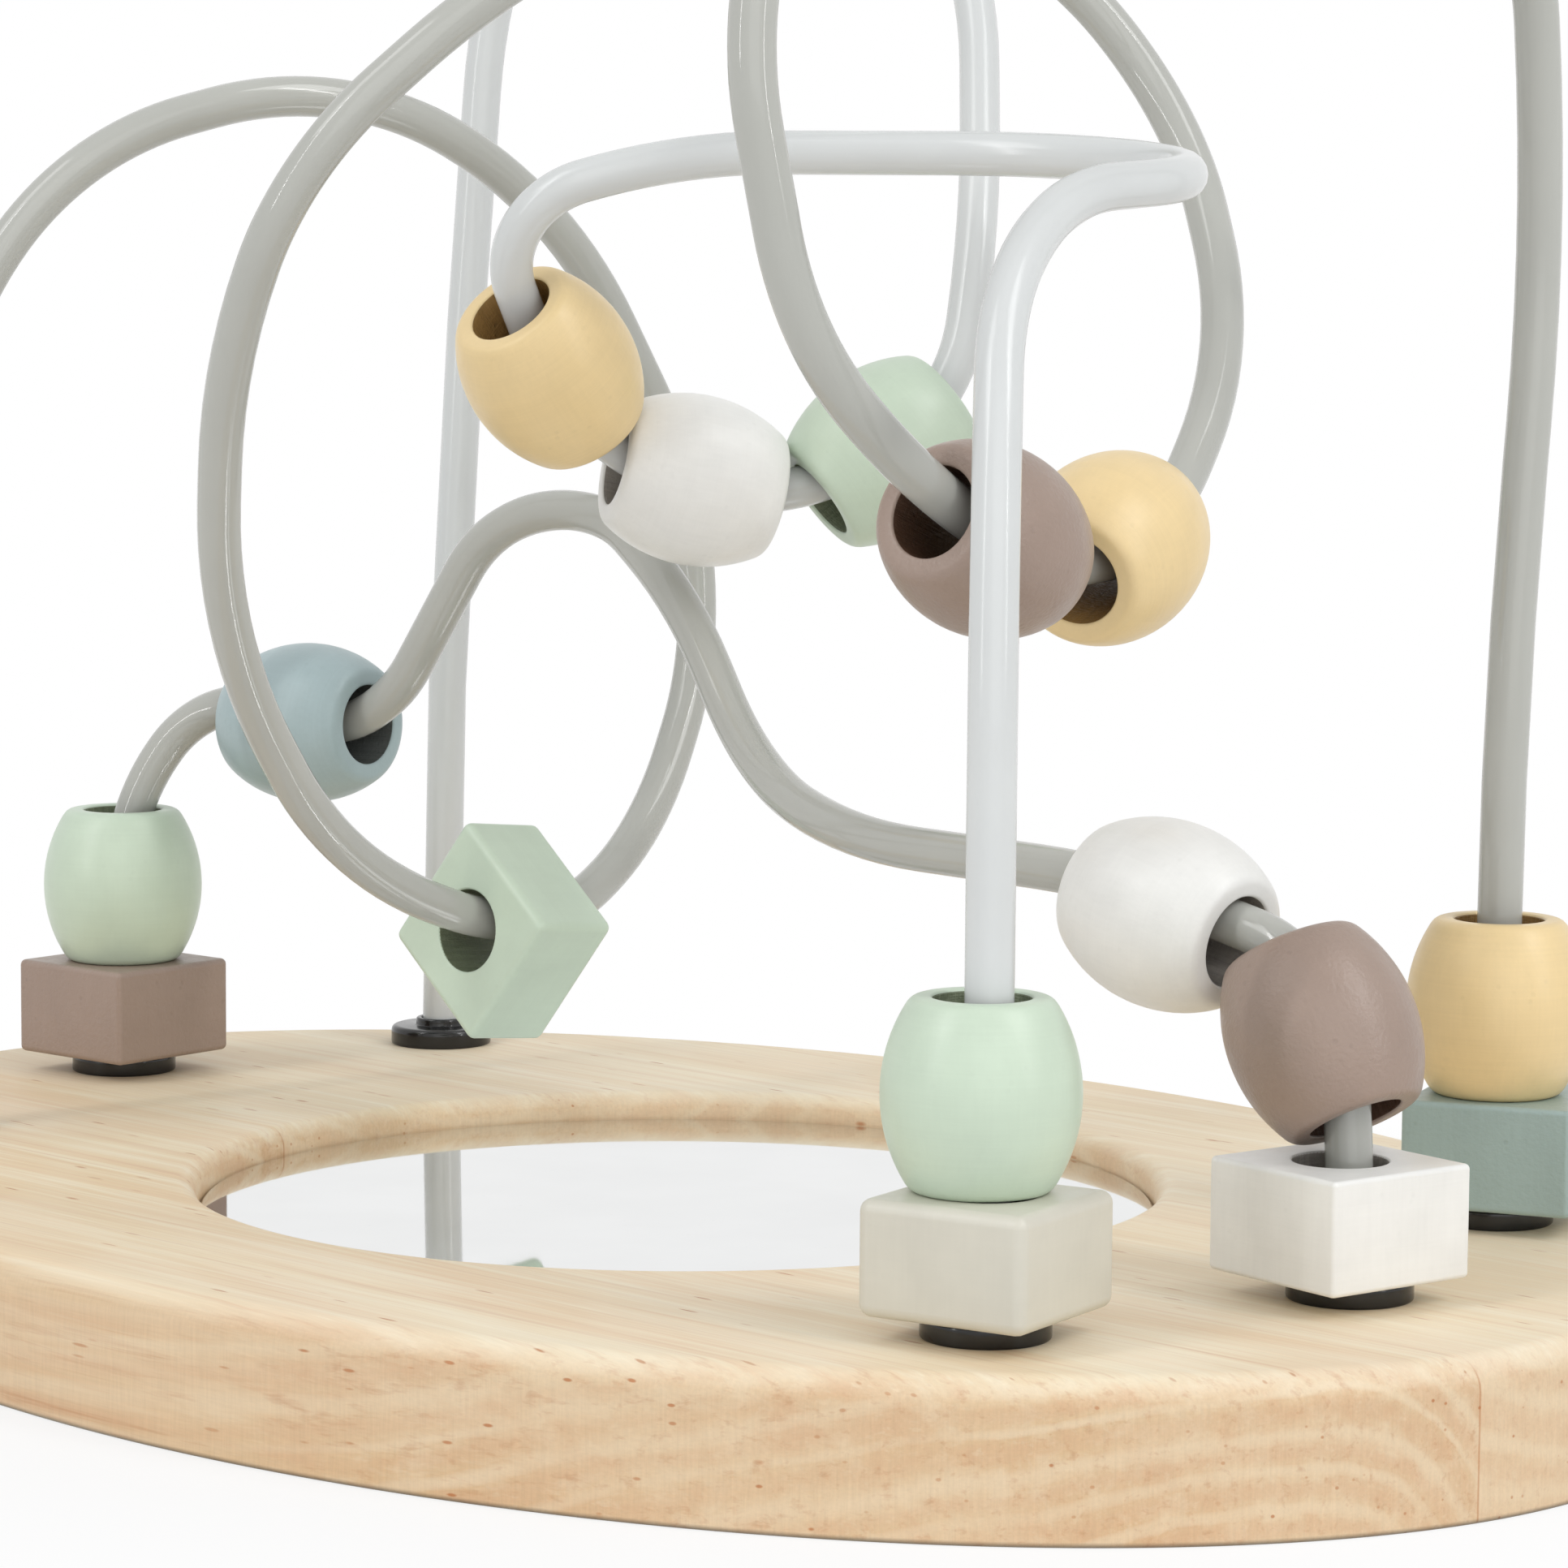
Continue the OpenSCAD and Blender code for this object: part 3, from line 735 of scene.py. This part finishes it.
class MAZE_OT_board(bpy.types.Operator):
    """Model the oval board with its recess and sockets, and the mirror"""
    bl_idname = "maze.board"
    bl_label = "Board and mirror"

    def execute(self, context):
        board, tracks, _, _ = settings()
        clear_selection()
        bpy.ops.mesh.primitive_circle_add(vertices=BOARD_STEPS, radius=board.width / 2, fill_type="NGON")
        obj = context.object
        obj.name = obj.data.name = "board"
        bpy.ops.object.mode_set(mode="EDIT")
        bpy.ops.mesh.select_all(action="SELECT")
        bpy.ops.transform.resize(value=(board.length / board.width, 1, 1))
        bpy.ops.mesh.extrude_region_move(TRANSFORM_OT_translate={"value": (0, 0, board.thickness)})
        bpy.ops.mesh.select_all(action="SELECT")
        bpy.ops.mesh.normals_make_consistent(inside=False)
        top = board.thickness
        select_edges(obj, lambda co: co.z > top - ON_FACE)
        bpy.ops.mesh.bevel(offset=board.edge_radius, segments=8, affect="EDGES")
        select_edges(obj, lambda co: co.z < ON_FACE)
        bpy.ops.mesh.bevel(offset=board.foot_radius, segments=3, affect="EDGES")
        bpy.ops.object.mode_set(mode="OBJECT")
        rim, radius = board.rim_radius, board.recess / 2
        floor = MIRROR_LOW.z
        outline = [(0, floor), (radius, floor), (radius, top - rim)]
        steps, above = 8, top + 2 * MM
        for k in range(1, steps + 1):
            angle = math.pi / 2 * k / steps
            outline.append((radius + rim - rim * math.cos(angle), top - rim + rim * math.sin(angle)))
        outline += [(radius + rim, above), (0, above)]
        cut(obj, lathe("recess", outline, RECESS_STEPS))
        for foot in FEET:
            clear_selection()
            place = foot_place(foot, top - tracks.socket / 2 + MM)
            bpy.ops.mesh.primitive_cylinder_add(vertices=SOCKET_STEPS, radius=SLEEVE_R + BUSH_PLAY,
                                                depth=tracks.socket + 2 * MM, location=place)
            drill = context.object
            settle(drill, drill.matrix_world.copy())
            cut(obj, drill)
        smooth(obj, 40)
        flatten(obj, 100)
        values = {"Tan": tuple(board.tan_wood), "Pale": tuple(board.pale_wood),
                  "Pink": tuple(board.pink_wood), "Pore": tuple(board.pore)}
        obj.data.materials.clear()
        obj.data.materials.append(
            finish("Pine", pine_group(), values, "object", bump=0.3, distance=0.1 * MM))
        belong(obj, "base_board")

        radius = (MIRROR_HIGH.x - MIRROR_LOW.x) / 2
        edge = board.mirror_edge
        outline = [(0, MIRROR_LOW.z), (radius - edge, MIRROR_LOW.z), (radius, MIRROR_LOW.z + edge),
                   (radius, MIRROR_HIGH.z - edge), (radius - edge, MIRROR_HIGH.z), (0, MIRROR_HIGH.z)]
        glass = lathe("mirror_disc", outline, MIRROR_STEPS)
        smooth(glass, 30)
        values = {"Colour": tuple(board.silver), "Gloss low": 0.02, "Gloss high": 0.05, "Dust": 0.2}
        glass.data.materials.append(
            finish("Mirror", gloss_group(), values, "object", bump=0.01, distance=0.02 * MM, Metallic=1.0))
        belong(glass, "mirror")
        return {"FINISHED"}


class MAZE_OT_bushes(bpy.types.Operator):
    """Turn the black bushes at the feet of the tracks"""
    bl_idname = "maze.bushes"
    bl_label = "Bushes"

    def execute(self, context):
        board, tracks, _, _ = settings()
        bore, low = tracks.rod / 2 + BUSH_PLAY, -tracks.socket
        flange, collar = FLANGE_R, COLLAR_R
        outline = [(bore, low), (SLEEVE_R, low), (SLEEVE_R, -0.2 * MM), (flange - 0.6 * MM, 0)]
        outline += eased((flange - 0.3 * MM, 0), (flange, 0), (flange, 0.35 * MM), 3)
        outline += eased((flange, FLANGE_T - MM), (flange, FLANGE_T), (flange - MM, FLANGE_T), 6)
        outline += eased((collar + 0.35 * MM, FLANGE_T), (collar, FLANGE_T),
                         (collar, FLANGE_T + 0.3 * MM), 3)
        outline += eased((collar, COLLAR_TOP - 0.45 * MM), (collar, COLLAR_TOP),
                         (collar - 0.35 * MM, COLLAR_TOP), 4)
        outline += eased((bore + 0.25 * MM, COLLAR_TOP), (bore, COLLAR_TOP),
                         (bore, COLLAR_TOP - 0.3 * MM), 3)
        model = lathe("bush", outline, TURNED_STEPS)
        smooth(model, 35)
        values = {"Colour": tuple(tracks.bush), "Gloss low": 0.12, "Gloss high": 0.22, "Dust": 0.2}
        model.data.materials.append(
            finish("Black bush", gloss_group(), values, "object", bump=0.05, distance=0.1 * MM))
        for foot in FEET:
            obj = copy_of(model, "bush_" + foot)
            settle(obj, Matrix.Translation(foot_place(foot, board.thickness)))
            belong(obj, "grommet_" + foot)
        discard(model)
        return {"FINISHED"}


class MAZE_OT_tracks(bpy.types.Operator):
    """Bend the three tracks of enamelled rod"""
    bl_idname = "maze.tracks"
    bl_label = "Tracks"

    def execute(self, context):
        tracks = settings()[1]
        for track in TRACKS:
            corners, bends = track_bends(track)
            points = [corners[0]]
            for bend in bends.values():
                count = max(2, math.ceil(math.degrees(bend.turn) / SECTION_ANGLE))
                points += [bend.point(k / count) for k in range(count + 1)]
            points.append(corners[-1])
            curve = bpy.data.curves.new(track, "CURVE")
            curve.dimensions = "3D"
            spline = curve.splines.new("POLY")
            kept = [points[0]] + [b for a, b in zip(points, points[1:]) if (b - a).length > SECTION_GAP]
            spline.points.add(len(kept) - 1)
            for point, place in zip(spline.points, kept):
                point.co = (*place, 1)
            curve.bevel_depth = tracks.rod / 2
            curve.bevel_resolution = 7
            curve.use_fill_caps = True
            obj = bpy.data.objects.new("track_" + track.split("_")[1], curve)
            context.collection.objects.link(obj)
            pick(obj)
            bpy.ops.object.convert(target="MESH")
            obj = context.object
            smooth(obj, 50)
            white = track == "wire_white"
            name, colour, low, high = (("White enamel", tracks.white, 0.16, 0.22) if white
                                       else ("Grey enamel", tracks.grey, 0.08, 0.12))
            values = {"Colour": tuple(colour), "Gloss low": low, "Gloss high": high, "Dust": 0.0}
            obj.data.materials.clear()
            obj.data.materials.append(
                finish(name, gloss_group(), values, "object", bump=0.1, distance=0.12 * MM))
            belong(obj, track)
        return {"FINISHED"}


def dress(obj, node, place):
    """Paint a bead or block, leave its bore thinly painted, and put it in its place."""
    bore, paint = settings()[2].bore / 2, paint_of(node)
    keep_own_place(obj)
    obj.data.materials.clear()
    obj.data.materials.append(paint_material(paint))
    obj.data.materials.append(bore_material(paint))
    inside = [math.hypot(vertex.co.x, vertex.co.y) < bore + IN_BORE for vertex in obj.data.vertices]
    for face in obj.data.polygons:
        face.material_index = int(all(inside[k] for k in face.vertices))
    settle(obj, place)
    belong(obj, node)


class MAZE_OT_beads(bpy.types.Operator):
    """Turn the barrel beads and thread them on the tracks"""
    bl_idname = "maze.beads"
    bl_label = "Beads"

    def execute(self, context):
        beads = settings()[2]
        half, wide, end, bore = beads.length / 2, beads.diameter / 2, beads.end / 2, beads.bore / 2
        bulge = wide - end
        barrel = (half * half + bulge * bulge) / (2 * bulge)

        def side(height):
            return wide - barrel + math.sqrt(barrel * barrel - height * height)

        shoulder, lip, rows = 1.1 * MM, 0.5 * MM, 12
        reach = half - shoulder
        outline = [(side(reach * (k / rows - 1)), reach * (k / rows - 1)) for k in range(2 * rows + 1)]
        crown = eased((side(reach), reach), (end + 0.05 * MM, half), (end - 0.9 * MM, half), 6)[1:]
        crown += eased((bore + lip, half), (bore, half), (bore, half - lip), 4)
        outline += crown + [(r, -z) for r, z in reversed(crown)]
        model = lathe("bead", outline, TURNED_STEPS)
        smooth(model, 50)
        for node in (n for n in [*THREADED, *STACKED] if n.startswith("bead")):
            dress(copy_of(model, node.replace("bead_", "bead.")), node, place_of(node))
        discard(model)
        return {"FINISHED"}


class MAZE_OT_blocks(bpy.types.Operator):
    """Saw, ease and drill the square blocks"""
    bl_idname = "maze.blocks"
    bl_label = "Blocks"

    def execute(self, context):
        beads = settings()[2]
        bore, half = beads.bore / 2, beads.thickness / 2

        def on_lip(co):
            return math.hypot(co.x, co.y) < bore + ON_LIP and abs(co.z) > half - ON_LIP

        for node, (turn, ease) in BLOCK_CUT.items():
            clear_selection()
            bpy.ops.mesh.primitive_cube_add(size=beads.side)
            obj = context.object
            obj.name = obj.data.name = node.replace("block_", "block.")
            bpy.ops.object.mode_set(mode="EDIT")
            bpy.ops.mesh.select_all(action="SELECT")
            bpy.ops.transform.resize(value=(1, 1, beads.thickness / beads.side))
            bpy.ops.mesh.bevel(offset=ease * MM, segments=5, affect="EDGES")
            bpy.ops.object.mode_set(mode="OBJECT")
            clear_selection()
            bpy.ops.mesh.primitive_cylinder_add(vertices=TURNED_STEPS, radius=bore,
                                                depth=beads.thickness * 1.5)
            cut(obj, context.object)
            pick(obj)
            bpy.ops.object.mode_set(mode="EDIT")
            select_edges(obj, on_lip)
            bpy.ops.mesh.bevel(offset=0.4 * MM, segments=3, affect="EDGES")
            bpy.ops.object.mode_set(mode="OBJECT")
            smooth(obj, 40)
            flatten(obj, 50)
            spin = Matrix.Rotation(math.radians(turn), 4, "Z")
            dress(obj, node, place_of(node) @ spin)
        return {"FINISHED"}


class MAZE_OT_stage(bpy.types.Operator):
    """Set up the floor, the light and the camera"""
    bl_idname = "maze.stage"
    bl_label = "Stage"

    def execute(self, context):
        scene, stage = context.scene, settings()[3]
        clear_selection()
        bpy.ops.mesh.primitive_plane_add(size=12)
        floor = context.object
        floor.name = "floor"
        material = bpy.data.materials.new("White floor")
        material.use_nodes = True
        material.node_tree.nodes.clear()
        s = Sheet(material.node_tree)
        matt = s.add("ShaderNodeBsdfDiffuse", {"Color": (0.88, 0.88, 0.88, 1)})
        glow = s.add("ShaderNodeEmission", {"Color": (1, 1, 1, 1), "Strength": 1.0})
        place = s.add("ShaderNodeTexCoord").outputs["Object"]
        away = s.add("ShaderNodeVectorMath", {0: place}, operation="LENGTH").outputs["Value"]
        share = s.times(s.seen(), s.span(away, SHADE_NEAR, SHADE_FAR, SHADE_WHITE, 1.0))
        shade = s.add("ShaderNodeMixShader", {0: share, 1: matt.outputs[0], 2: glow.outputs[0]})
        output = s.add("ShaderNodeOutputMaterial")
        s.tree.links.new(shade.outputs[0], output.inputs["Surface"])
        floor.data.materials.append(material)

        world = bpy.data.worlds.new("Studio")
        world.use_nodes = True
        world.node_tree.nodes.clear()
        s = Sheet(world.node_tree)
        strength = s.span(s.seen(), 0.0, 1.0, stage.fill, 1.0)
        sky = s.add("ShaderNodeBackground", {"Color": (1, 1, 1, 1), "Strength": strength})
        output = s.add("ShaderNodeOutputWorld")
        s.tree.links.new(sky.outputs[0], output.inputs["Surface"])
        scene.world = world

        pitch, heading = math.radians(CAMERA_PITCH), Vector(CAMERA_HEADING).normalized()
        forward = heading * math.cos(pitch) - Vector((0, 0, math.sin(pitch)))
        roll = Matrix.Rotation(math.radians(CAMERA_ROLL), 4, "Z")
        aim = forward.to_track_quat("-Z", "Y").to_matrix().to_4x4() @ roll
        clear_selection()
        bpy.ops.object.camera_add()
        camera = context.object
        camera.matrix_world = Matrix.Translation(Vector(CAMERA_PLACE) * MM) @ aim
        camera.data.sensor_fit = "HORIZONTAL"
        camera.data.sensor_width = 36
        camera.data.lens = stage.lens
        camera.data.clip_end = 30
        scene.camera = camera

        right = aim.to_3x3() @ Vector((1, 0, 0))
        centre = Vector(LAMP_AIM)
        for name, (setting, (across, up, back), size, tilt) in LAMPS.items():
            spot = centre + right * across + Vector((0, 0, up)) - heading * back
            bpy.ops.object.light_add(type="AREA", location=spot)
            lamp = context.object
            lamp.name = name
            towards = centre - spot
            towards.z *= tilt
            lamp.rotation_euler = towards.to_track_quat("-Z", "Y").to_euler()
            lamp.data.shape = "RECTANGLE"
            lamp.data.size, lamp.data.size_y = size
            lamp.data.energy = getattr(stage, setting)
        scene.view_settings.view_transform = "Standard"
        return {"FINISHED"}


PIECES = (MAZE_OT_board, MAZE_OT_bushes, MAZE_OT_tracks, MAZE_OT_beads, MAZE_OT_blocks, MAZE_OT_stage)


class MAZE_PT_panel(bpy.types.Panel):
    """Lists the steps that make the maze"""
    bl_idname = "MAZE_PT_panel"
    bl_label = "Bead maze"
    bl_space_type = "VIEW_3D"
    bl_region_type = "UI"
    bl_category = "Maze"

    def draw(self, context):
        for piece in PIECES:
            self.layout.operator(piece.bl_idname)


GROUPS = {"maze_board": BoardSettings, "maze_tracks": TrackSettings, "maze_beads": BeadSettings,
          "maze_stage": StageSettings}
CLASSES = (*GROUPS.values(), *PIECES, MAZE_PT_panel)


def register():
    for item in CLASSES:
        bpy.utils.register_class(item)
    for name, kind in GROUPS.items():
        setattr(bpy.types.Scene, name, PointerProperty(type=kind))


def unregister():
    for name in GROUPS:
        delattr(bpy.types.Scene, name)
    for item in reversed(CLASSES):
        bpy.utils.unregister_class(item)


def main():
    register()
    bpy.ops.maze.board()
    bpy.ops.maze.bushes()
    bpy.ops.maze.tracks()
    bpy.ops.maze.beads()
    bpy.ops.maze.blocks()
    bpy.ops.maze.stage()


if __name__ == "__main__":
    main()
